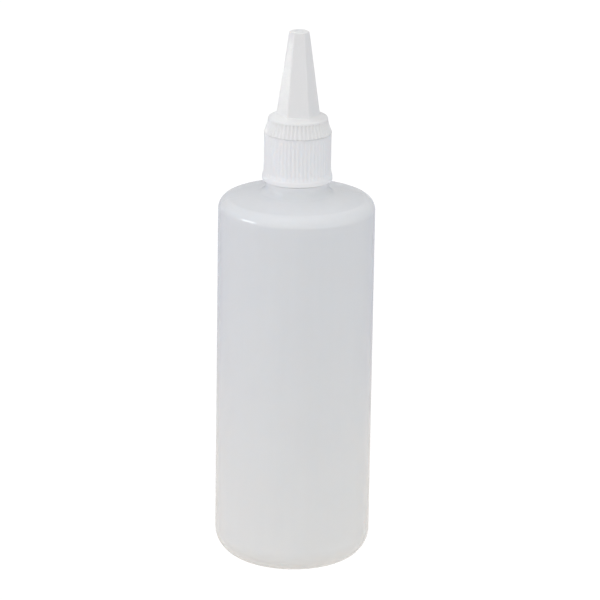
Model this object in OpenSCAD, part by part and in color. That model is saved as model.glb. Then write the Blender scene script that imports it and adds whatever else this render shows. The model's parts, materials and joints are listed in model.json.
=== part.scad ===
// Glue applicator bottle: a round squeeze bottle with a screw cap and a twist-open hexagonal spout.
// Millimetres, +Z up. The origin is the centre of the base, on the surface that the bottle stands on.

/* [Bottle body] */
// Outer diameter of the straight wall
body_d = 65; // [62:0.5:68]
// Thickness of the blown wall
wall = 1; // [0.8:0.1:1.3]
// Height at which the straight wall ends and the shoulder begins
shoulder_z = 150.9; // [120:0.1:170]
// Radius of the rounded corner between base and wall
base_corner = 11.3; // [8:0.1:12]
// Radius of the rounded corner between wall and shoulder
shoulder_corner = 5.3; // [4:0.1:7]
// Rise of the shoulder towards the neck, in degrees
shoulder_slope = 10; // [8:0.5:12]
// Outer radius of the pushed-up middle of the base
push_up_r = 19; // [16:0.5:20]
// Height of the pushed-up middle of the base
push_up = 2.6; // [1.5:0.1:4]

/* [Neck finish] */
// Diameter of the ring below the cap
neck_ring_d = 26.4; // [26:0.1:27]
// Radius of the hollow corner between shoulder and neck ring
neck_fillet = 3; // [2:0.1:4]
// Straight height of the neck ring above that corner
neck_ring_h = 2; // [1.6:0.1:2.4]
// Height of the threaded neck above its ring
finish_h = 17.1; // [16.9:0.1:19]
// Outer diameter of the neck thread
thread_d = 23.9; // [23.7:0.05:24]
// Diameter of the neck between the threads
root_d = 21.7; // [21.5:0.05:21.8]
// Diameter of the hole through the neck
neck_bore_d = 17.4; // [16.8:0.1:18]
// Rise of the neck thread in one turn
pitch = 3.175; // [3.175:0.001:3.175]
// Turns of thread on the neck
thread_turns = 1.5; // [1:0.25:1.75]

/* [Screw cap] */
// Diameter over the ribs of the skirt
skirt_d = 27.8; // [27.6:0.1:28.2]
// Diameter of the bead round the bottom of the skirt
bead_d = 29.1; // [28.6:0.1:29.6]
// Number of ribs on the skirt
skirt_ribs = 52; // [40:2:64]
// Depth of the grooves between the skirt's ribs
skirt_rib_depth = 0.26; // [0.2:0.02:0.5]
// Gap between the neck ring and the skirt with the cap tight
skirt_gap = 0.4; // [0.3:0.1:1.2]
// Inside diameter of the skirt
skirt_bore_d = 24.5; // [24.4:0.05:24.6]
// Thickness of the deck
deck_t = 2.1; // [1.6:0.1:2.4]
// Thickness of the sealing liner under the deck
liner_t = 0.9; // [0.6:0.1:1.2]
// Outer diameter of the drum that the spout turns on
drum_d = 19.2; // [19:0.1:19.4]
// Diameter of the smooth bore of the drum
drum_bore_d = 16.6; // [16.4:0.1:16.8]
// Height of the drum above the deck
drum_h = 5.5; // [5.3:0.1:5.6]
// Diameter of the shut-off pin at the tip
pin_d = 3.1; // [2.5:0.1:3.4]

/* [Twist spout] */
// Diameter over the ribs at the collar's bottom edge
collar_d = 28.2; // [28:0.1:28.6]
// Diameter over the ribs at the collar's top edge
collar_top_d = 24.8; // [24.6:0.1:25.2]
// Height of the ribbed side of the collar
collar_h = 6.65; // [6.4:0.05:7]
// Number of ribs on the collar
collar_ribs = 48; // [36:2:60]
// Depth of the grooves between the collar's ribs
collar_rib_depth = 0.42; // [0.3:0.02:0.5]
// Width of the hexagonal nozzle across its corners, at its foot
hex_foot_d = 18.25; // [17.5:0.05:18.5]
// Width of the hexagonal nozzle across its corners, at its tip
hex_tip_d = 8.45; // [8:0.05:9]
// Height of the nozzle above the collar
nozzle_h = 34.8; // [28:0.1:40]
// Wall thickness of the nozzle
nozzle_wall = 1.4; // [1.2:0.05:1.5]
// How far the spout rises when it is opened
spout_lift = 2.5; // [2:0.1:2.5]
// How far the spout turns when it is opened, in degrees
spout_angle = 90; // [75:5:90]

/* [Clearances] */
// Radial gap between mating threads and lugs
thread_gap = 0.25; // [0.2:0.01:0.3]
// Radial gap of the sealing fits
seal_gap = 0.05; // [0.03:0.01:0.08]
// Gap below the spout's collar when it is closed
collar_gap = 0.15; // [0.1:0.05:0.4]

/* [Hidden] */
$fn = 96;
over = 1;                 // how far a cutting tool runs past the face it opens
sink = 0.3;               // how far an added ridge or arm is sunk into the wall that carries it
arc_steps = 14;           // straight stretches in a quarter of a rounded outline

body_r = body_d / 2;
ring_r = neck_ring_d / 2;
root_r = root_d / 2;
thread_r = thread_d / 2;
neck_bore_r = neck_bore_d / 2;

// Outline of the shoulder: a corner arc, then a straight rise to the neck.
corner_x = body_r - shoulder_corner;
slope_x = corner_x + shoulder_corner * sin(shoulder_slope);
slope_z = shoulder_z + shoulder_corner * cos(shoulder_slope);
fillet_x = ring_r + neck_fillet;
fillet_z = slope_z + (slope_x - fillet_x) * tan(shoulder_slope) + neck_fillet / cos(shoulder_slope);
ring_top = fillet_z + neck_ring_h;
finish_top = ring_top + finish_h;
throat_rise = 1.3;                  // from the ring's top to where the neck's bore runs straight
ring_edge = 0.3;                    // bevel on the ring and on the mouth

// Neck thread: a helical ridge with sloping sides. Its mate inside the cap runs half a pitch lower.
ridge_foot = 2.0;
ridge_crest = 0.9;
thread_land = 2.2;                  // plain neck between the thread and the mouth
thread_start_z = finish_top - thread_land - pitch * thread_turns;
ridge_steps = 36;                   // rings of points in one turn of a ridge
fade_share = 0.12;                  // part of a ridge's length over which each end runs out

// Levels of the cap
skirt_z = ring_top + skirt_gap;
deck_under = finish_top + liner_t;
deck_top = deck_under + deck_t;
skirt_r = skirt_d / 2;
bead_r = bead_d / 2;
bead_h = 2;
bead_blend = 2.2;                   // height over which the bead runs out into the skirt
skirt_bore_r = skirt_bore_d / 2;
rib_root_r = skirt_r - skirt_rib_depth;
cap_edge = 0.2;                     // bevel where the skirt meets the deck
cap_bevel = 0.3;                    // bevels on the bead and the drum
bore_bevel = 0.4;                   // bevels at the mouths of the skirt and the drum
liner_margin = 0.35;                // how far the liner's edges stay inside the skirt and the drum
mate_crest_r = root_r + thread_gap;
mate_turns = 1.25;
mate_start_z = thread_start_z - pitch / 2;

// Drum, glue windows and stem
drum_r = drum_d / 2;
drum_bore_r = drum_bore_d / 2;
drum_top = deck_top + drum_h;
hub_r = 3.4;
arm_w = 1.6;
arms = 4;
stem_foot_r = 3;
pin_r = pin_d / 2;
pin_len = 2.4;
core_foot_r = 1.9;                  // hollow up the middle of the stem
core_tip_r = 0.7;
core_h = 28;                        // height of that hollow above the deck
pin_bevel = 0.15;

// Levels of the spout
collar_z = deck_top + collar_gap;
collar_top = collar_z + collar_h;
top_rise = 1.1;                     // rise of the collar's top face from its edge to the nozzle
nozzle_z = collar_top + top_rise;
tip_z = nozzle_z + nozzle_h;
collar_wall = 1.1;
crown_h = 2;                        // height of solid collar behind its rounded edge
crown_round = 0.9;
ceiling_z = drum_top + 0.4;         // the hollow collar's inside top, just clear of the drum
hex_soften = 0.22;                  // how much the nozzle's long edges are rounded off
tip_bevel = 0.55;
orifice_r = pin_r + seal_gap;
orifice_land = 1.6;
orifice_cone = 2.1;
bore_foot_r = 6.6;
nozzle_slope = (hex_foot_d - hex_tip_d) / 2 / nozzle_h;
bore_end_r = hex_tip_d / 2 + nozzle_slope * (orifice_land + orifice_cone);
bore_tip_r = bore_end_r * cos(30) - nozzle_wall;

// Quick thread of the spout: three ramps on the drum and three lugs in the collar
starts = 3;
lead = spout_lift * 360 / spout_angle;
ramp_w = 0.9;
ramp_crest = 0.63;
ramp_depth = 0.95;
ramp_offset = 1.15;                 // the ramp's middle is this far above the lug's
lug_span = 30;
lug_z = collar_z + 0.65;            // middle of a lug's low end
ramp_top = drum_top - ramp_w / 2 - 0.05;
ramp_lead_in = 8;                   // degrees of ramp before the lug's low end
ramp_z = lug_z + ramp_offset - lead * ramp_lead_in / 360;
ramp_span = (ramp_top - ramp_z) * 360 / lead;
stop_gap = 0.8;                     // degrees between an open lug and its stop
stop_span = 4;
stop_h = 1.3;
stop_drop = 0.4;                    // from the drum's top to the stop's

// Seal
seal_wall = 1.1;
seal_r = drum_bore_r - seal_gap;
seal_z = deck_top + 0.6;
seal_seat = 0.8;                    // how far the seal is set into the spout
seal_lip = 0.35;

// Points of an arc about (x, y), from angle a to angle b.
function arc(x, y, r, a, b) =
    let (n = max(2, ceil(arc_steps * abs(b - a) / 90)))
    [for (i = [0:n]) let (t = a + (b - a) * i / n) [x + r * cos(t), y + r * sin(t)]];

// Points of a shallow dome from the axis, z high, down to (r, z - rise), seen from the side.
function dome(r, z, rise) =
    let (big = (r * r + rise * rise) / (2 * rise), half = asin(r / big))
    [for (i = [0:arc_steps]) let (t = half * i / arc_steps) [big * sin(t), z - big * (1 - cos(t))]];

function reversed(list) = [for (i = [len(list) - 1:-1:0]) list[i]];

// Share of a ridge's full height at step i of n, so that its ends run out.
function fade(i, n) = max(0.1, min(1, i / n / fade_share, (n - i) / n / fade_share));

// A helical ridge with four-sided sections. Its foot, foot_r, is the end that keeps its radius.
module ridge(foot_r, crest_r, foot_w, crest_w, rise, turns, z, start = 0) {
    n = ceil(ridge_steps * turns);
    outward = crest_r > foot_r;
    points = [for (i = [0:n])
        let (a = start + 360 * turns * i / n, mid = z + rise * turns * i / n)
        let (tip = foot_r + (crest_r - foot_r) * fade(i, n))
        let (inner = outward ? [foot_r, foot_w / 2] : [tip, crest_w / 2])
        let (outer = outward ? [tip, crest_w / 2] : [foot_r, foot_w / 2])
        for (p = [[inner, -1], [outer, -1], [outer, 1], [inner, 1]])
            [p[0][0] * cos(a), p[0][0] * sin(a), mid + p[1] * p[0][1]]];
    sides = [for (i = [0:n - 1], k = [0:3])
        [4 * i + k, 4 * i + (k + 1) % 4, 4 * i + 4 + (k + 1) % 4, 4 * i + 4 + k]];
    polyhedron(points, concat([[3, 2, 1, 0]], sides, [[4 * n, 4 * n + 1, 4 * n + 2, 4 * n + 3]]));
}

// Outline of a ribbed ring: flat crests at radius r, valleys cut by depth.
function ribbed(r, depth, count, turn = 0) =
    let (step = 360 / count)
    [for (i = [0:count - 1], p = [[-0.32, 0], [-0.14, 1], [0.14, 1], [0.32, 0]])
        let (a = turn + (i + p[0]) * step, rr = r - depth * (1 - p[1]))
        [rr * cos(a), rr * sin(a)]];

module revolve(points) {
    rotate_extrude() polygon(points);
}

module tube(outer, inner, z, h) {
    translate([0, 0, z]) difference() {
        cylinder(r = outer, h = h);
        translate([0, 0, -over]) cylinder(r = inner, h = h + 2 * over);
    }
}

// The blown shell, from the outside of the base up to the mouth and back down the inside.
module bottle() {
    corner_in = body_r - base_corner;
    outside = concat(
        dome(push_up_r, push_up, push_up),
        arc(corner_in, base_corner, base_corner, -90, 0),
        arc(corner_x, shoulder_z, shoulder_corner, 0, 90 - shoulder_slope),
        arc(fillet_x, fillet_z, neck_fillet, 270 - shoulder_slope, 180),
        [[ring_r, ring_top - ring_edge], [ring_r - ring_edge, ring_top], [root_r, ring_top],
         [root_r, finish_top - ring_edge], [root_r - ring_edge, finish_top]]);
    inside = concat(
        dome(push_up_r, push_up + wall, push_up),
        arc(corner_in, base_corner, base_corner - wall, -90, 0),
        arc(corner_x, shoulder_z, shoulder_corner - wall, 0, 90 - shoulder_slope),
        arc(fillet_x, fillet_z, neck_fillet + wall, 270 - shoulder_slope, 180),
        [[neck_bore_r, ring_top + throat_rise], [neck_bore_r, finish_top]]);
    color([0.86, 0.87, 0.88, 0.75]) {
        revolve(concat(outside, reversed(inside)));
        ridge(root_r - sink, thread_r, ridge_foot, ridge_crest, pitch, thread_turns, thread_start_z);
    }
}

// The soft washer between the mouth and the deck.
module sealing_liner() {
    color([0.93, 0.93, 0.9])
        tube(skirt_bore_r - liner_margin, drum_bore_r - liner_margin, finish_top, liner_t);
}

// Skirt, deck and drum as one outline, open in the middle.
module cap_shell() {
    revolve([
        [skirt_bore_r + bore_bevel, skirt_z], [bead_r - cap_bevel, skirt_z],
        [bead_r, skirt_z + cap_bevel], [bead_r, skirt_z + bead_h - cap_bevel],
        [bead_r - cap_bevel, skirt_z + bead_h],
        [rib_root_r, skirt_z + bead_h + bead_blend], [rib_root_r, deck_top - cap_edge],
        [rib_root_r - cap_edge, deck_top], [drum_r, deck_top], [drum_r, drum_top - cap_bevel],
        [drum_r - cap_bevel, drum_top], [drum_bore_r + bore_bevel, drum_top],
        [drum_bore_r, drum_top - bore_bevel], [drum_bore_r, deck_under],
        [skirt_bore_r, deck_under], [skirt_bore_r, skirt_z + bore_bevel]]);
}

module cap_ribs() {
    foot = skirt_z + bead_h - sink;
    translate([0, 0, foot]) linear_extrude(deck_top - cap_edge - foot) difference() {
        polygon(ribbed(skirt_r, skirt_rib_depth + sink, skirt_ribs, 90));
        circle(r = rib_root_r - 2 * sink);
    }
}

// Arms across the hole in the deck, with the glue windows between them, and the hub of the stem.
module spider() {
    for (i = [0:arms - 1]) rotate(45 + i * 360 / arms)
        translate([hub_r - sink, -arm_w / 2, deck_under])
            cube([drum_bore_r - hub_r + 2 * sink, arm_w, deck_t]);
    translate([0, 0, deck_under]) cylinder(r = hub_r, h = deck_t);
}

// The long tapered stem and, at its end, the pin that plugs the tip.
module stem() {
    translate([0, 0, deck_top - over])
        cylinder(r1 = stem_foot_r, r2 = pin_r, h = tip_z - pin_len - deck_top + over);
    translate([0, 0, tip_z - pin_len - sink]) cylinder(r = pin_r, h = pin_len + sink - pin_bevel);
    translate([0, 0, tip_z - pin_bevel])
        cylinder(r1 = pin_r, r2 = pin_r - pin_bevel, h = pin_bevel);
}

// Three ramps that lift the spout as it turns, each with a stop for the open position.
module drum_ramps() {
    for (i = [0:starts - 1]) rotate(i * 360 / starts) {
        ridge(drum_r - sink, drum_r + ramp_depth, ramp_w, ramp_crest, lead, ramp_span / 360,
              ramp_z, -ramp_lead_in);
        rotate(lug_span + spout_angle + stop_gap) rotate_extrude(angle = stop_span)
            translate([drum_r - sink, drum_top - stop_drop - stop_h])
                square([ramp_depth + sink, stop_h]);
    }
}

module screw_cap() {
    color([0.88, 0.89, 0.9, 0.8]) {
        cap_shell();
        cap_ribs();
        ridge(skirt_bore_r + sink, mate_crest_r, ridge_foot, ridge_crest, pitch, mate_turns,
              mate_start_z);
        difference() {
            union() {
                spider();
                stem();
            }
            translate([0, 0, deck_under - over])
                cylinder(r1 = core_foot_r, r2 = core_tip_r, h = deck_t + core_h + over);
        }
        drum_ramps();
    }
}

// The round plug that seals the spout in the bore of the drum. Its top is set into the spout.
module spout_seal() {
    inner_r = seal_r - seal_wall;
    top = ceiling_z + seal_seat;
    color([0.94, 0.94, 0.93]) revolve([
        [inner_r, seal_z + seal_lip], [inner_r + seal_lip, seal_z], [seal_r - seal_lip, seal_z],
        [seal_r, seal_z + seal_lip], [seal_r, top], [inner_r, top]]);
}

// Ribbed side of the collar, wider at its bottom edge.
module collar_side() {
    translate([0, 0, collar_z])
        linear_extrude(collar_h - crown_round / 2, scale = collar_top_d / collar_d)
            polygon(ribbed(collar_d / 2, collar_rib_depth, collar_ribs, 90 + 180 / collar_ribs));
}

// Top of the collar: a rounded edge, then a face that rises a little to the nozzle's foot.
module collar_crown() {
    edge_r = collar_top_d / 2;
    revolve(concat(
        [[0, collar_top - crown_h], [edge_r - collar_rib_depth / 4, collar_top - crown_h]],
        arc(edge_r - crown_round, collar_top - crown_round * 2 / 3, crown_round, 0, 80),
        [[hex_foot_d / 2 - over, nozzle_z], [0, nozzle_z]]));
}

// The tapered hexagon, with one flat facing the front, softened edges and a bevelled round tip.
module nozzle_outside() {
    foot_r = hex_foot_d / 2 + nozzle_slope * over;
    tip_r = hex_tip_d / 2;
    intersection() {
        translate([0, 0, nozzle_z - over])
            cylinder(r1 = foot_r, r2 = tip_r, h = nozzle_h + over, $fn = 6);
        revolve([
            [0, nozzle_z - over], [foot_r - hex_soften, nozzle_z - over],
            [tip_r - hex_soften + nozzle_slope * tip_bevel, tip_z - tip_bevel],
            [tip_r - tip_bevel, tip_z], [0, tip_z]]);
    }
}

// Everything that is hollow inside the spout, from the collar's mouth to the orifice.
module spout_hollow() {
    wall_top_r = collar_top_d / 2 - collar_rib_depth - collar_wall;
    wall_foot_r = collar_d / 2 - collar_rib_depth - collar_wall;
    revolve([
        [0, collar_z - over], [wall_foot_r, collar_z - over], [wall_foot_r, collar_z],
        [wall_top_r, ceiling_z], [seal_r + seal_gap, ceiling_z],
        [seal_r + seal_gap, ceiling_z + seal_seat], [bore_foot_r, ceiling_z + seal_seat],
        [bore_tip_r, tip_z - orifice_land - orifice_cone], [orifice_r, tip_z - orifice_land],
        [orifice_r, tip_z + over], [0, tip_z + over]]);
}

module spout_lugs() {
    wall_r = collar_d / 2 - collar_rib_depth - collar_wall;
    for (i = [0:starts - 1]) rotate(i * 360 / starts)
        ridge(wall_r, drum_r + thread_gap, ramp_w, ramp_crest, lead, lug_span / 360, lug_z);
}

module twist_spout() {
    color([0.97, 0.97, 0.96]) {
        difference() {
            union() {
                collar_side();
                collar_crown();
                nozzle_outside();
            }
            spout_hollow();
        }
        spout_lugs();
    }
}

bottle();
sealing_liner();
screw_cap();
spout_seal();
twist_spout();
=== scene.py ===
import json
import math

import bmesh
import bpy
from mathutils import Matrix, Vector


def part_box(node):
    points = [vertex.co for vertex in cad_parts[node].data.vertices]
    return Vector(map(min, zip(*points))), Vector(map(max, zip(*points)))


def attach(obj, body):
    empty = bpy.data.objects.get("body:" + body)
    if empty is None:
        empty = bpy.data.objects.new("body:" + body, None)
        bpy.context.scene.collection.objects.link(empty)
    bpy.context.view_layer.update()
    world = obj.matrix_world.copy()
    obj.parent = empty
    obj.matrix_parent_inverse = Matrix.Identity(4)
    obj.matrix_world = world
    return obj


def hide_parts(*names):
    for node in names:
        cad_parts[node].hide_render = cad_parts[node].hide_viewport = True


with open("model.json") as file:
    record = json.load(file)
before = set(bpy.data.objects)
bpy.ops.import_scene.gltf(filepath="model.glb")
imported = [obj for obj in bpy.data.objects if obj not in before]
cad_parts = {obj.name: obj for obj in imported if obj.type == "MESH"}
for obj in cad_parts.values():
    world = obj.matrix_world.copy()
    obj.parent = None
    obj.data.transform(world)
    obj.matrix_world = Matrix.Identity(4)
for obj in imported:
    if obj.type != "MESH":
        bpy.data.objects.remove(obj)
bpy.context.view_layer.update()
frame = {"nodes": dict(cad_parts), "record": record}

# A milky squeeze bottle, its ribbed screw cap and a white twist spout. Every length is in metres.
MM = 0.001

mounts = {m["name"]: m for m in frame["record"]["mounts"]}
barrel = mounts["barrel"]


# ---------------------------------------------------------------- sizes, from the frame

BODY_R = barrel["dims"]["r_mm"] * MM
WALL_LOW = barrel["pos_m"][2] - barrel["dims"]["length_mm"] * MM / 2
WALL_HIGH = barrel["pos_m"][2] + barrel["dims"]["length_mm"] * MM / 2
BOTTLE_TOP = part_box("bottle")[1].z
CAP_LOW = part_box("screw_cap")[0].z
CAP_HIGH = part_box("screw_cap")[1].z
BEAD_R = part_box("screw_cap")[1].x
SPOUT_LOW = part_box("twist_spout")[0].z
SPOUT_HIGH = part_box("twist_spout")[1].z
LINER_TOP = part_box("sealing_liner")[1].z
SEAL_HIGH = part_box("spout_seal")[1].z
SEAL_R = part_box("spout_seal")[1].x

# Bottle
WALL = 1.0 * MM
BASE_CORNER = WALL_LOW
STAND_W = 1.0 * MM
STAND_EDGE = 0.9 * MM
SHOULDER_CORNER = 5.3 * MM
SHOULDER_SLOPE = math.radians(10)
PUSH_UP_R = 19 * MM
PUSH_UP = 2.6 * MM
RING_R = 13.2 * MM
NECK_FILLET = 3.0 * MM
RING_TOP = BOTTLE_TOP - 17.1 * MM
NECK_R = 10.85 * MM
NECK_BORE_R = 8.7 * MM
THREAD_R = 11.95 * MM
THREAD_FOOT_W = 2.0 * MM
THREAD_CREST_W = 0.9 * MM
PITCH = 3.175 * MM
THREAD_TURNS = 1.5
THREAD_TOP = BOTTLE_TOP - 2.2 * MM
BOTTLE_SIDES = 192

# The mould's parting ridge: the angle of its plane from the X axis, its height and half its width.
SEAM_AT = math.radians(10)
SEAM_RIDGE = 0.035 * MM
SEAM_HALF = 0.3 * MM

# Cap
DECK_UNDER = LINER_TOP
DECK_TOP = DECK_UNDER + 2.1 * MM
DRUM_TOP = DECK_TOP + 5.5 * MM
BEAD_H = 1.7 * MM
SKIRT_R = 13.9 * MM
SKIRT_TOP = SPOUT_LOW - 0.05 * MM
SKIRT_BORE_R = 12.25 * MM
CAP_RIBS = 52
CAP_RIB_DEPTH = 0.22 * MM
CAP_RIB_LOW = CAP_LOW + 1.9 * MM
CAP_RIB_HIGH = SKIRT_TOP - 0.1 * MM
CAP_RIB_FADE_LOW = 0.6 * MM
CAP_RIB_FADE_HIGH = 0.35 * MM
DRUM_R = 9.6 * MM
DRUM_BORE_R = 8.3 * MM
HUB_R = 3.4 * MM
ARMS = 4
ARM_W = 1.6 * MM
STEM_FOOT_R = 3.0 * MM
PIN_R = 1.55 * MM
PIN_LEN = 2.4 * MM
CORE_FOOT_R = 1.9 * MM
CORE_TIP_R = 0.7 * MM
CORE_TOP = DECK_TOP + 28 * MM

# Spout
COLLAR_R = 14.1 * MM
COLLAR_TOP_R = 12.4 * MM
COLLAR_TOP = SPOUT_LOW + 6.65 * MM
NOZZLE_LOW = COLLAR_TOP + 1.1 * MM
COLLAR_RIBS = 48
COLLAR_RIB_DEPTH = 0.42 * MM
HEX_FOOT_R = 9.125 * MM
HEX_TIP_R = 4.225 * MM
CEILING = DRUM_TOP + 0.4 * MM
ORIFICE_R = 1.6 * MM
ORIFICE_EDGE = 0.03 * MM
DISC_R = 4.0 * MM
DISC_EDGE_W = 0.4 * MM
DISC_EDGE_H = 0.5 * MM
NOZZLE_FOOT = 0.5 * MM
COLLAR_EDGE = 1.0 * MM

# The quick thread of the drum's ramps and the spout's lugs is a steep helix with three starts.
# Its angles are in degrees.
STARTS = 3
LEAD = 10 * MM
RAMP_LEAD_IN = 8
LUG_SPAN = 30
LUG_LOW = SPOUT_LOW + 0.65 * MM
RAMP_LOW = DECK_TOP + 1.728 * MM
RAMP_SPAN = 117.8
RAMP_R = DRUM_R + 0.95 * MM
LUG_FOOT_R = 12.4 * MM
LUG_CREST_R = 9.85 * MM
RIDGE_FOOT_W = 0.9 * MM
RIDGE_CREST_W = 0.63 * MM

# How far a thread's foot reaches into the wall that it stands on.
SINK = 0.3 * MM

# Points of a ring for each rib.
RIB_POINTS = 10

# Edges stay sharp from this angle up, in degrees.
SHARP_FROM = 32


# ---------------------------------------------------------------- mesh helpers

def rounded(points, steps=5):
    """A path of (r, z) from corners (r, z, radius), with an arc at each corner that has a radius."""
    path = []
    for i, corner in enumerate(points):
        here = Vector(corner[:2])
        radius = corner[2] if len(corner) > 2 else 0
        if radius == 0 or i in (0, len(points) - 1):
            path.append(here)
            continue
        back = (Vector(points[i - 1][:2]) - here).normalized()
        on = (Vector(points[i + 1][:2]) - here).normalized()
        half = math.acos(max(-1, min(1, back.dot(on)))) / 2
        reach = radius / math.tan(half)
        centre = here + (back + on).normalized() * (radius / math.sin(half))
        a = here + back * reach - centre
        b = here + on * reach - centre
        turn = a.angle_signed(b)
        for k in range(steps + 1):
            path.append(centre + Matrix.Rotation(-turn * k / steps, 2) @ a)
    return [(p.x, p.y) for p in path]


def arc(x, z, radius, start, end, steps):
    """Points (r, z) of an arc about (x, z), from angle start to angle end in degrees."""
    angles = [math.radians(start + (end - start) * i / steps) for i in range(steps + 1)]
    return [(x + radius * math.cos(a), z + radius * math.sin(a)) for a in angles]


def dome(radius, top, rise, steps):
    """Points (r, z) of a shallow dome, from near the axis at top down to (radius, top - rise)."""
    big = (radius ** 2 + rise ** 2) / (2 * rise)
    half = math.asin(radius / big)
    angles = [half * i / steps for i in range(1, steps + 1)]
    return [(big * math.sin(a), top - big * (1 - math.cos(a))) for a in angles]


def subdivided(path, longest):
    """The path with extra points, so that no stretch is longer than longest."""
    out = [path[0]]
    for a, b in zip(path, path[1:]):
        n = max(1, math.ceil(math.dist(a, b) / longest))
        for k in range(1, n + 1):
            out.append((a[0] + (b[0] - a[0]) * k / n, a[1] + (b[1] - a[1]) * k / n))
    return out


def shade(mesh):
    """Smooth shading that keeps the sharp edges."""
    mesh.shade_smooth()
    mesh.set_sharp_from_angle(angle=math.radians(SHARP_FROM))


def make_object(name, verts, faces):
    mesh = bpy.data.meshes.new(name)
    mesh.from_pydata(verts, [], faces)
    mesh.validate()
    shade(mesh)
    obj = bpy.data.objects.new(name, mesh)
    bpy.context.scene.collection.objects.link(obj)
    return obj


def loft(name, rings, poles=None, capped=False):
    """Skin over rings of points with the same count.

    poles are two points that close the first and the last ring, and capped closes both with a flat face.
    With neither, the last ring joins the first.
    """
    n = len(rings[0])
    top = (len(rings) - 1) * n
    verts = [p for ring in rings for p in ring]
    faces = []
    for i in range(len(rings) - 1 if poles or capped else len(rings)):
        a, b = i * n, (i + 1) % len(rings) * n
        faces += [(a + k, a + (k + 1) % n, b + (k + 1) % n, b + k) for k in range(n)]
    if poles:
        verts += poles
        faces += [(top + n, (k + 1) % n, k) for k in range(n)]
        faces += [(top + k, top + (k + 1) % n, top + n + 1) for k in range(n)]
    if capped:
        faces += [tuple(range(n))[::-1], tuple(range(top, top + n))]
    return make_object(name, verts, faces)


def ring_of(count, radius_at, z):
    """One ring of points at height z. radius_at gives the radius at an angle."""
    angles = [2 * math.pi * k / count for k in range(count)]
    return [(radius_at(a) * math.cos(a), radius_at(a) * math.sin(a), z) for a in angles]


def lathe(name, path, count, low, high):
    """A turned shape from a path of (r, z), closed on the axis at the heights low and high."""
    rings = [ring_of(count, lambda a: r, z) for r, z in path]
    return loft(name, rings, ((0, 0, low), (0, 0, high)))


# Cross-section of a ridge: (share of its height, side as a share of half its width there).
RIDGE = [(0, -1), (0.55, -1), (0.85, -1), (1, -0.44), (1, 0.44), (0.85, 1), (0.55, 1), (0, 1)]


def helix(name, foot_r, crest_r, foot_w, crest_w, rise, turns, z, start=0.0, steps=72, fade=0.1):
    """A helical ridge with a rounded crest, which rises by rise in each turn.

    steps is how many sections a turn has, and fade is the share of the length in which each end runs out.
    """
    n = math.ceil(steps * turns)
    rings = []
    for i in range(n + 1):
        share = i / n
        height = max(0.06, min(1, share / fade, (1 - share) / fade))
        a = start + 2 * math.pi * turns * share
        middle = z + rise * turns * share
        ring = []
        for up, side in RIDGE:
            half = (foot_w + (crest_w - foot_w) * up) / 2
            r = foot_r + (crest_r - foot_r) * up * height
            ring.append((r * math.cos(a), r * math.sin(a), middle + side * half))
        rings.append(ring if crest_r > foot_r else ring[::-1])
    return loft(name, rings, capped=True)


def facing_out(obj):
    """Turns every face of the closed mesh outwards."""
    bm = bmesh.new()
    bm.from_mesh(obj.data)
    bmesh.ops.recalc_face_normals(bm, faces=bm.faces)
    bm.to_mesh(obj.data)
    bm.free()


def fused(obj, others):
    """obj with the others joined on as one closed mesh."""
    for other in [obj, *others]:
        facing_out(other)
    for other in others:
        boolean = obj.modifiers.new("join", "BOOLEAN")
        boolean.operation = "UNION"
        boolean.solver = "MANIFOLD"
        boolean.object = other
    bpy.context.view_layer.update()
    mesh = bpy.data.meshes.new_from_object(obj.evaluated_get(bpy.context.evaluated_depsgraph_get()))
    obj.modifiers.clear()
    obj.data = mesh
    for other in others:
        bpy.data.objects.remove(other)
    shade(mesh)
    return obj


# ---------------------------------------------------------------- pieces

def seam_angles(count):
    """Even angles, with closer ones at the two seams, where the halves of the mould meet."""
    angles = {2 * math.pi * k / count for k in range(count)}
    for seam in (SEAM_AT, SEAM_AT + math.pi):
        for degrees in (0, 0.2, 0.4, 0.6, 1.2):
            angles |= {seam - math.radians(degrees), seam + math.radians(degrees)}
    return sorted(angles)


def seamed_rings(path, angles, top):
    """Rings along a path of (r, z), with the mould's parting ridge raised along the path's own normal."""
    rings = []
    for i, (r, z) in enumerate(path):
        before = Vector(path[max(0, i - 1)])
        after = Vector(path[min(len(path) - 1, i + 1)])
        along = (after - before).normalized()
        # The ridge dies out where the bottle stands and at the foot of the neck.
        fade = max(0, min(1, z / MM, (top - z) / MM))
        ring = []
        for a in angles:
            across = r * abs(math.remainder(a - SEAM_AT, math.pi))
            rise = SEAM_RIDGE * fade * max(0, 1 - (across / SEAM_HALF) ** 2)
            out = r + rise * along.y
            ring.append((out * math.cos(a), out * math.sin(a), z - rise * along.x))
        rings.append(ring)
    return rings


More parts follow.
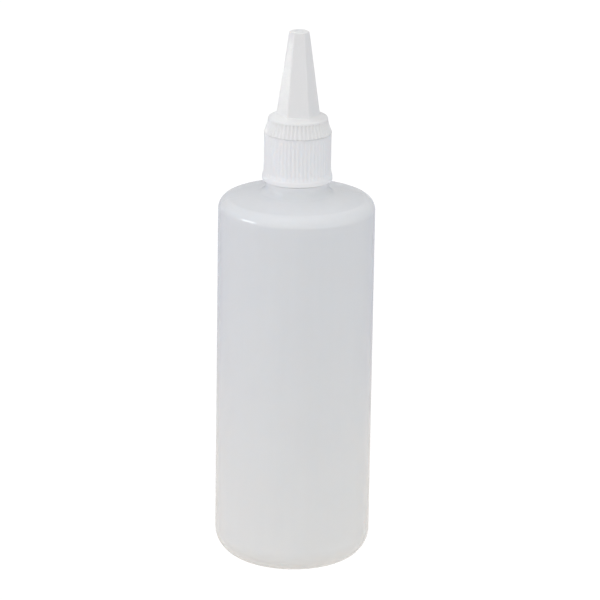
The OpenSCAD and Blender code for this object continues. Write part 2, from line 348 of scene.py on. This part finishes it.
def make_bottle():
    # Centres of the rounded corners at the base and the shoulder, and of the hollow one at the neck.
    base_x = BODY_R - BASE_CORNER
    shoulder_x = BODY_R - SHOULDER_CORNER
    slope = SHOULDER_SLOPE
    slope_x = shoulder_x + SHOULDER_CORNER * math.sin(slope)
    slope_z = WALL_HIGH + SHOULDER_CORNER * math.cos(slope)
    fillet_x = RING_R + NECK_FILLET
    fillet_z = slope_z + (slope_x - fillet_x) * math.tan(slope) + NECK_FILLET / math.cos(slope)
    slope_end = 90 - math.degrees(slope)
    fillet_start = 270 - math.degrees(slope)

    # Outside: pushed-up base, standing ring, corner, wall, shoulder, neck fillet, ring and neck.
    outside = (
        dome(PUSH_UP_R - 0.6 * MM, PUSH_UP, PUSH_UP - 0.25 * MM, 10)
        + arc(base_x - STAND_W, STAND_EDGE, STAND_EDGE, -150, -90, 5)
        + arc(base_x, BASE_CORNER, BASE_CORNER, -90, 0, 22)
        + [(BODY_R, WALL_LOW + (WALL_HIGH - WALL_LOW) * k / 24) for k in range(1, 24)]
        + arc(shoulder_x, WALL_HIGH, SHOULDER_CORNER, 0, slope_end, 18)
        + arc(fillet_x, fillet_z, NECK_FILLET, fillet_start, 180, 12)
        + rounded([
            (RING_R, fillet_z + 0.1 * MM),
            (RING_R, RING_TOP, 0.3 * MM),
            (NECK_R, RING_TOP, 0.4 * MM),
            (NECK_R, BOTTLE_TOP, 0.5 * MM),
            (NECK_BORE_R + 0.6 * MM, BOTTLE_TOP),
        ]))
    inside = (
        dome(PUSH_UP_R, PUSH_UP + WALL, PUSH_UP, 10)
        + arc(base_x, BASE_CORNER, BASE_CORNER - WALL, -90, 0, 18)
        + [(BODY_R - WALL, WALL_LOW + (WALL_HIGH - WALL_LOW) * k / 12) for k in range(1, 12)]
        + arc(shoulder_x, WALL_HIGH, SHOULDER_CORNER - WALL, 0, slope_end, 14)
        + arc(fillet_x, fillet_z, NECK_FILLET + WALL, fillet_start, 180, 10)
        + rounded([
            (RING_R - WALL, fillet_z + 0.1 * MM),
            (NECK_BORE_R, RING_TOP + 1.3 * MM, 2 * MM),
            (NECK_BORE_R, BOTTLE_TOP, 0.3 * MM),
            (NECK_BORE_R + 0.5 * MM, BOTTLE_TOP),
        ]))
    angles = seam_angles(BOTTLE_SIDES)
    rings = seamed_rings(outside, angles, fillet_z - NECK_FILLET)
    rings += [[(r * math.cos(a), r * math.sin(a), z) for a in angles] for r, z in inside[::-1]]
    shell = loft("bottle_shell", rings, ((0, 0, PUSH_UP), (0, 0, PUSH_UP + WALL)))
    thread = helix(
        "neck_thread", NECK_R - SINK, THREAD_R, THREAD_FOOT_W, THREAD_CREST_W,
        PITCH, THREAD_TURNS, THREAD_TOP - THREAD_TURNS * PITCH)
    return fused(shell, [thread])


def rib_wave(a, count, turn=0.0):
    """0 on the crest of a rib and 1 in the middle of the groove between two."""
    wave = 0.5 - 0.5 * math.cos(count * (a - turn))
    return wave ** 1.6


def bar(name, r0, r1, width, z0, z1, angle):
    """A square bar that runs outwards from radius r0 to r1 at an angle."""
    corners = [(r, s * width / 2, z) for z in (z0, z1) for r, s in ((r0, -1), (r1, -1), (r1, 1), (r0, 1))]
    turn = Matrix.Rotation(angle, 3, "Z")
    verts = [tuple(turn @ Vector(c)) for c in corners]
    faces = [(3, 2, 1, 0), (4, 5, 6, 7), (0, 1, 5, 4), (1, 2, 6, 5), (2, 3, 7, 6), (3, 0, 4, 7)]
    return make_object(name, verts, faces)


def quick_ridge(name, foot_r, crest_r, span, z, start):
    """One ridge of the quick thread, over span degrees from start degrees on."""
    return helix(
        name, foot_r, crest_r, RIDGE_FOOT_W, RIDGE_CREST_W, LEAD, span / 360, z,
        math.radians(start), steps=96, fade=0.08)


def make_cap():
    # One outline round the skirt, the deck and the drum: (r, z, corner radius).
    outline = subdivided(rounded([
        (SKIRT_BORE_R + 0.4 * MM, CAP_LOW),
        (BEAD_R, CAP_LOW, 0.35 * MM),
        (BEAD_R, CAP_LOW + BEAD_H, 0.5 * MM),
        (SKIRT_R + 0.12 * MM, CAP_LOW + 3.6 * MM, 1.5 * MM),
        (SKIRT_R, CAP_LOW + 6.5 * MM, 4 * MM),
        (SKIRT_R, SKIRT_TOP, 0.06 * MM),
        (DRUM_R + 1.5 * MM, SKIRT_TOP),
        (DRUM_R + 1.4 * MM, DECK_TOP),
        (DRUM_R, DECK_TOP, 0.3 * MM),
        (DRUM_R, DRUM_TOP, 0.3 * MM),
        (DRUM_BORE_R, DRUM_TOP, 0.35 * MM),
        (DRUM_BORE_R, DECK_UNDER, 0.15 * MM),
        (SKIRT_BORE_R, DECK_UNDER, 0.4 * MM),
        (SKIRT_BORE_R, CAP_LOW + 0.4 * MM),
    ]), 1.2 * MM)

    def ribbed(r, z):
        """The outline's radius at each angle, with the grooves cut into the outside of the skirt."""
        outside = r > SKIRT_BORE_R + 0.5 * MM
        low = min(1, max(0, (z - CAP_RIB_LOW) / CAP_RIB_FADE_LOW))
        high = min(1, max(0, (CAP_RIB_HIGH - z) / CAP_RIB_FADE_HIGH))
        depth = CAP_RIB_DEPTH * low * high if outside else 0
        return lambda a: r - depth * rib_wave(a, CAP_RIBS, -math.pi / 2)

    rings = [ring_of(CAP_RIBS * RIB_POINTS, ribbed(r, z), z) for r, z in outline]
    shell = loft("screw_cap_moulding", rings)

    # Four arms across the drum's bore carry the stem, which is cored out from below.
    extras = []
    arm_start = HUB_R - 1 * MM
    arm_end = DRUM_BORE_R + 0.6 * MM
    for i in range(ARMS):
        angle = math.radians(45 + 360 / ARMS * i)
        extras.append(bar("arm", arm_start, arm_end, ARM_W, DECK_UNDER, DECK_TOP - 0.02 * MM, angle))
    core = [(CORE_TIP_R, CORE_TOP), (CORE_FOOT_R, DECK_UNDER + 0.02 * MM)]
    outside = rounded([
        (CORE_FOOT_R, DECK_UNDER),
        (HUB_R, DECK_UNDER, 0.2 * MM),
        (HUB_R, DECK_TOP, 0.2 * MM),
        (STEM_FOOT_R, DECK_TOP + 0.1 * MM, 0.3 * MM),
        (PIN_R, CAP_HIGH - PIN_LEN, 4 * MM),
        (PIN_R, CAP_HIGH, 0.05 * MM),
        (0.3 * MM, CAP_HIGH),
    ])
    extras.append(lathe("stem", core + outside, 48, CORE_TOP, CAP_HIGH))
    for i in range(STARTS):
        start = 360 / STARTS * i - RAMP_LEAD_IN
        extras.append(quick_ridge("ramp", DRUM_R - SINK, RAMP_R, RAMP_SPAN, RAMP_LOW, start))
    return fused(shell, extras)


def hex_radius(a, across, sharp=46):
    """Radius at an angle of a softened hexagon, across from middle to corner, with one flat facing -Y."""
    flat = across * math.cos(math.pi / 6)
    total = sum(max(0, math.cos(a - math.pi / 2 - k * math.pi / 3)) ** sharp for k in range(6))
    return flat / total ** (1 / sharp)


def both(a, b, power=30):
    """The smaller of two radii, with the corner between them rounded."""
    return (a ** -power + b ** -power) ** (-1 / power)


def make_spout():
    count = COLLAR_RIBS * RIB_POINTS
    slope = (HEX_FOOT_R - HEX_TIP_R) / (SPOUT_HIGH - NOZZLE_LOW)
    rings = []

    def add(z, radius_at):
        rings.append(ring_of(count, radius_at, z))

    def hexagon(a, z):
        return hex_radius(a, HEX_FOOT_R - slope * (z - NOZZLE_LOW))

    def collar_wave(a):
        return rib_wave(a, COLLAR_RIBS, -math.pi / 2 + math.pi / COLLAR_RIBS)

    # The tip: a flat round disc, its rounded edge, and the faces of the nozzle that run up into it.
    for r in (ORIFICE_R + ORIFICE_EDGE, 2.4 * MM, 3.2 * MM):
        add(SPOUT_HIGH, lambda a: r)
    top = SPOUT_HIGH - DISC_EDGE_H
    for k in range(7):
        t = math.pi / 2 * k / 6
        z = SPOUT_HIGH - DISC_EDGE_H * (1 - math.cos(t))
        cone = DISC_R - 0.1 * MM + DISC_EDGE_W * math.sin(t)
        add(z, lambda a: both(hexagon(a, z), cone))
    low = NOZZLE_LOW + NOZZLE_FOOT
    for k in range(1, 25):
        z = top + (low - top) * k / 24
        cone = DISC_R + 0.3 * MM + 1.2 * (top - z)
        add(z, lambda a: both(hexagon(a, z), cone))

    # The foot's small fillet, and the collar's top face out to its rounded edge.
    for k in range(1, 6):
        t = math.pi / 2 * k / 5
        z = low - NOZZLE_FOOT * math.sin(t)
        out = NOZZLE_FOOT * (1 - math.cos(t))
        add(z, lambda a: hexagon(a, z) + out)
    edge_r = COLLAR_TOP_R - COLLAR_EDGE
    edge_z = COLLAR_TOP + 0.25 * MM
    for k in range(1, 9):
        t = k / 8
        z = NOZZLE_LOW * (1 - t) + edge_z * t
        add(z, lambda a: (hexagon(a, NOZZLE_LOW) + NOZZLE_FOOT) * (1 - t) + edge_r * t)
    side_top = edge_z - COLLAR_EDGE
    for k in range(1, 7):
        t = math.radians(80 - 80 * k / 6)
        r = edge_r + COLLAR_EDGE * math.cos(t)
        add(side_top + COLLAR_EDGE * math.sin(t), lambda a: r)

    # The ribbed side, which hangs straight and then flares to the bottom edge.
    side_low = SPOUT_LOW + 0.35 * MM
    for k in range(1, 17):
        t = k / 16
        r = COLLAR_TOP_R + (COLLAR_R - COLLAR_TOP_R) * t ** 1.6
        depth = COLLAR_RIB_DEPTH * min(1, t / 0.06)
        add(side_top + (side_low - side_top) * t, lambda a: r - depth * collar_wave(a))
    add(SPOUT_LOW + 0.12 * MM, lambda a: COLLAR_R - 0.06 * MM - 0.36 * MM * collar_wave(a))
    add(SPOUT_LOW, lambda a: COLLAR_R - 0.3 * MM - 0.15 * MM * collar_wave(a))

    # The hollow inside, up to the orifice.
    inner = rounded([
        (12.7 * MM, SPOUT_LOW),
        (12.55 * MM, SPOUT_LOW + 0.2 * MM, 0.1 * MM),
        (10.95 * MM, CEILING, 0.3 * MM),
        (SEAL_R + 0.05 * MM, CEILING),
        (SEAL_R + 0.05 * MM, SEAL_HIGH),
        (6.6 * MM, SEAL_HIGH, 0.3 * MM),
        (2.75 * MM, SPOUT_HIGH - 3.7 * MM, 1.0 * MM),
        (ORIFICE_R, SPOUT_HIGH - 1.6 * MM, 0.4 * MM),
        (ORIFICE_R, SPOUT_HIGH - ORIFICE_EDGE),
    ])
    for r, z in subdivided(inner, 3 * MM):
        add(z, lambda a: r)
    shell = loft("twist_spout_moulding", rings)
    starts = [360 / STARTS * i for i in range(STARTS)]
    lugs = [quick_ridge("lug", LUG_FOOT_R, LUG_CREST_R, LUG_SPAN, LUG_LOW, start) for start in starts]
    return fused(shell, lugs)


# ---------------------------------------------------------------- materials

def principled(name):
    material = bpy.data.materials.new(name)
    material.use_nodes = True
    return material, material.node_tree, material.node_tree.nodes["Principled BSDF"]


def milky_plastic(name, dark, light, roughness, clear, scatter, depth, gloss=0.0):
    """Cloudy plastic that scatters light, with faint upright flow streaks and a finely grained skin.

    dark and light are the ends of its colour, and depth is how far light travels inside it.
    """
    material, tree, shader = principled(name)
    nodes, links = tree.nodes, tree.links
    coords = nodes.new("ShaderNodeTexCoord")
    stretch = nodes.new("ShaderNodeMapping")
    stretch.inputs["Scale"].default_value = (1, 1, 0.06)
    links.new(coords.outputs["Object"], stretch.inputs["Vector"])

    streak = nodes.new("ShaderNodeTexNoise")
    streak.inputs["Scale"].default_value = 210
    streak.inputs["Detail"].default_value = 3
    links.new(stretch.outputs["Vector"], streak.inputs["Vector"])
    cloud = nodes.new("ShaderNodeTexNoise")
    cloud.inputs["Scale"].default_value = 28
    cloud.inputs["Detail"].default_value = 2
    links.new(coords.outputs["Object"], cloud.inputs["Vector"])
    blend = nodes.new("ShaderNodeMix")
    blend.inputs["Factor"].default_value = 0.5
    links.new(streak.outputs["Fac"], blend.inputs["A"])
    links.new(cloud.outputs["Fac"], blend.inputs["B"])
    ramp = nodes.new("ShaderNodeValToRGB")
    ramp.color_ramp.elements[0].position = 0.3
    ramp.color_ramp.elements[0].color = (*dark, 1)
    ramp.color_ramp.elements[1].position = 0.7
    ramp.color_ramp.elements[1].color = (*light, 1)
    links.new(blend.outputs["Result"], ramp.inputs["Fac"])
    links.new(ramp.outputs["Color"], shader.inputs["Base Color"])

    spread = nodes.new("ShaderNodeMapRange")
    spread.inputs["To Min"].default_value = roughness - 0.04
    spread.inputs["To Max"].default_value = roughness + 0.06
    links.new(cloud.outputs["Fac"], spread.inputs["Value"])
    links.new(spread.outputs["Result"], shader.inputs["Roughness"])

    grain = nodes.new("ShaderNodeTexNoise")
    grain.inputs["Scale"].default_value = 2600
    grain.inputs["Detail"].default_value = 2
    links.new(coords.outputs["Object"], grain.inputs["Vector"])
    bump = nodes.new("ShaderNodeBump")
    bump.inputs["Strength"].default_value = 0.04
    bump.inputs["Distance"].default_value = 0.05 * MM
    links.new(grain.outputs["Fac"], bump.inputs["Height"])
    links.new(bump.outputs["Normal"], shader.inputs["Normal"])

    shader.inputs["IOR"].default_value = 1.5
    shader.inputs["Subsurface Weight"].default_value = scatter
    shader.inputs["Subsurface Radius"].default_value = (1.1, 1.0, 0.93)
    shader.inputs["Subsurface Scale"].default_value = depth
    shader.inputs["Transmission Weight"].default_value = clear
    shader.inputs["Coat Weight"].default_value = gloss
    shader.inputs["Coat Roughness"].default_value = 0.15
    return material


bottle_plastic = milky_plastic(
    "natural_bottle", (0.975, 0.975, 0.975), (0.995, 0.995, 0.995),
    roughness=0.22, clear=0.05, scatter=1.0, depth=2.6 * MM, gloss=0.6)
cap_plastic = milky_plastic(
    "natural_cap", (0.838, 0.842, 0.85), (0.858, 0.862, 0.87),
    roughness=0.38, clear=0.05, scatter=1.0, depth=1.2 * MM)
white_plastic = milky_plastic(
    "white_spout", (0.765, 0.765, 0.76), (0.795, 0.795, 0.79),
    roughness=0.42, clear=0.0, scatter=0.4, depth=1 * MM)
seal_plastic = milky_plastic(
    "soft_seal", (0.84, 0.84, 0.83), (0.9, 0.9, 0.885),
    roughness=0.5, clear=0.0, scatter=0.3, depth=1 * MM)
foam = milky_plastic(
    "foam_liner", (0.80, 0.80, 0.77), (0.88, 0.88, 0.85),
    roughness=0.7, clear=0.0, scatter=0.3, depth=1 * MM)


def dress(obj, material):
    obj.data.materials.clear()
    obj.data.materials.append(material)


bottle = make_bottle()
dress(bottle, bottle_plastic)
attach(bottle, "bottle_body")
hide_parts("bottle")

cap = make_cap()
dress(cap, cap_plastic)
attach(cap, "cap_body")
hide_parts("screw_cap")

spout = make_spout()
dress(spout, white_plastic)
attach(spout, "spout_body")
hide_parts("twist_spout")

for node, material in (("spout_seal", seal_plastic), ("sealing_liner", foam)):
    for slot in frame["nodes"][node].material_slots:
        slot.material = material


# ---------------------------------------------------------------- stage, light and camera

# The floor is bright and warm round the bottle and dim further off.
# The camera sees it as an even pale ground.
FLOOR_SEEN = 1.0
FLOOR_NEAR = (0.776, 0.735, 0.69)
FLOOR_FAR = (0.537, 0.548, 0.608)
NEAR_R = 0.09
FAR_R = 0.40
FLOOR_HALF = 6

# Sockets of a colour mix node: its two colours and its result.
MIX_A = 6
MIX_B = 7
MIX_RESULT = 2

# The room's light: an even part, and soft lobes (azimuth and elevation in degrees, tightness, colour).
ROOM = (0.613, 0.616, 0.628)
LOBES = {
    "overhead": (0, 85, 3, (0.4, 0.4, 0.4)),
    "front": (-15, 40, 3, (0.2, 0.2, 0.183)),
    "front_low": (0, 0, 4, (0.465, 0.42, 0.34)),
    "left_high": (-60, 50, 4, (0.094, 0.1, 0.17)),
    "right": (80, 10, 6, (0.293, 0.305, 0.3)),
}

CAMERA_LENS = 234.0
CAMERA_ELEVATION = math.radians(17.5)
CAMERA_ROLL = math.radians(0.9)
CAMERA_DISTANCE = 50 * BODY_R
CAMERA_TARGET = Vector((0.0604 * BODY_R, 0, 3.42 * BODY_R))


def towards(azimuth, elevation):
    """The direction of a light. Azimuth 0 is in front, positive to the right."""
    a, e = math.radians(azimuth), math.radians(elevation)
    return Vector((math.sin(a) * math.cos(e), -math.cos(a) * math.cos(e), math.sin(e)))


def make_stage():
    """A wide floor that glows softly."""
    corners = [(x * FLOOR_HALF, y * FLOOR_HALF, 0) for x, y in ((-1, -1), (1, -1), (1, 1), (-1, 1))]
    floor = make_object("studio_floor", corners, [(0, 1, 2, 3)])
    material, tree, shader = principled("studio_floor")
    nodes, links = tree.nodes, tree.links
    shader.inputs["Base Color"].default_value = (0.05, 0.05, 0.05, 1)
    shader.inputs["Roughness"].default_value = 0.9
    shader.inputs["Specular IOR Level"].default_value = 0
    place = nodes.new("ShaderNodeTexCoord")
    far = nodes.new("ShaderNodeVectorMath")
    far.operation = "LENGTH"
    links.new(place.outputs["Object"], far.inputs[0])
    fade = nodes.new("ShaderNodeMapRange")
    fade.interpolation_type = "SMOOTHSTEP"
    fade.inputs["From Min"].default_value = NEAR_R
    fade.inputs["From Max"].default_value = FAR_R
    links.new(far.outputs["Value"], fade.inputs["Value"])
    glow = nodes.new("ShaderNodeMix")
    glow.data_type = "RGBA"
    glow.inputs[MIX_A].default_value = (*FLOOR_NEAR, 1)
    glow.inputs[MIX_B].default_value = (*FLOOR_FAR, 1)
    links.new(fade.outputs["Result"], glow.inputs["Factor"])
    path = nodes.new("ShaderNodeLightPath")
    seen = nodes.new("ShaderNodeMix")
    seen.data_type = "RGBA"
    seen.inputs[MIX_B].default_value = (FLOOR_SEEN, FLOOR_SEEN, FLOOR_SEEN, 1)
    links.new(path.outputs["Is Camera Ray"], seen.inputs["Factor"])
    links.new(glow.outputs[MIX_RESULT], seen.inputs[MIX_A])
    links.new(seen.outputs[MIX_RESULT], shader.inputs["Emission Color"])
    shader.inputs["Emission Strength"].default_value = 1
    material.cycles.emission_sampling = "NONE"
    dress(floor, material)


def softbox(name, azimuth, elevation, distance, size, power, colour=(1, 1, 1), aim=0.12, spread=180):
    """An area light that faces the bottle's axis at height aim."""
    light = bpy.data.lights.new(name, "AREA")
    light.shape = "RECTANGLE"
    light.size, light.size_y = size
    light.energy = power
    light.color = colour
    light.spread = math.radians(spread)
    obj = bpy.data.objects.new(name, light)
    out = towards(azimuth, elevation)
    obj.location = out * distance + Vector((0, 0, aim))
    obj.rotation_euler = out.to_track_quat("Z", "Y").to_euler()
    bpy.context.scene.collection.objects.link(obj)


def make_room():
    """An even grey room with soft light lobes."""
    world = bpy.data.worlds.new("studio")
    world.use_nodes = True
    world.cycles.sampling_method = "NONE"
    nodes, links = world.node_tree.nodes, world.node_tree.links
    place = nodes.new("ShaderNodeTexCoord")
    total = None
    for azimuth, elevation, tightness, colour in LOBES.values():
        dot = nodes.new("ShaderNodeVectorMath")
        dot.operation = "DOT_PRODUCT"
        dot.inputs[1].default_value = towards(azimuth, elevation)
        links.new(place.outputs["Generated"], dot.inputs[0])
        ahead = nodes.new("ShaderNodeMath")
        ahead.operation = "MAXIMUM"
        ahead.inputs[1].default_value = 0
        links.new(dot.outputs["Value"], ahead.inputs[0])
        lobe = nodes.new("ShaderNodeMath")
        lobe.operation = "POWER"
        lobe.inputs[1].default_value = tightness
        links.new(ahead.outputs["Value"], lobe.inputs[0])
        add = nodes.new("ShaderNodeVectorMath")
        add.operation = "MULTIPLY_ADD"
        add.inputs[1].default_value = colour
        links.new(lobe.outputs["Value"], add.inputs[0])
        if total is None:
            add.inputs[2].default_value = ROOM
        else:
            links.new(total, add.inputs[2])
        total = add.outputs["Vector"]
    links.new(total, nodes["Background"].inputs["Color"])
    bpy.context.scene.world = world


def make_lights():
    """A strip on the left for the streak, a narrow spot beyond it, and a wide fill on the right."""
    softbox("key_left", -74.5, 12.5, 0.9, (0.36, 0.1), 1.1, aim=0.155)
    softbox("snoot_left", -100, 25, 0.9, (0.1, 0.1), 0.0085, (0.98, 1.0, 0.89), aim=0.235, spread=4)
    softbox("fill_right", 38, 7, 1.0, (0.9, 0.24), 0.7, (0.85, 0.92, 1.0), aim=0.15)


def make_camera():
    """Looks down on the bottle through a long lens, slightly turned about its own axis."""
    camera = bpy.data.cameras.new("camera")
    camera.sensor_width = 36
    camera.lens = CAMERA_LENS
    camera.clip_end = 50
    obj = bpy.data.objects.new("camera", camera)
    away = Vector((0, -math.cos(CAMERA_ELEVATION), math.sin(CAMERA_ELEVATION)))
    obj.location = CAMERA_TARGET + CAMERA_DISTANCE * away
    look = (CAMERA_TARGET - obj.location).to_track_quat("-Z", "Y").to_matrix()
    obj.rotation_euler = (look @ Matrix.Rotation(CAMERA_ROLL, 3, "Z")).to_euler()
    bpy.context.scene.collection.objects.link(obj)
    bpy.context.scene.camera = obj


make_stage()
make_room()
make_lights()
make_camera()
bpy.context.scene.view_settings.view_transform = "Standard"
bpy.context.scene.cycles.max_bounces = 32
bpy.context.scene.cycles.diffuse_bounces = 24
bpy.context.scene.cycles.transmission_bounces = 24
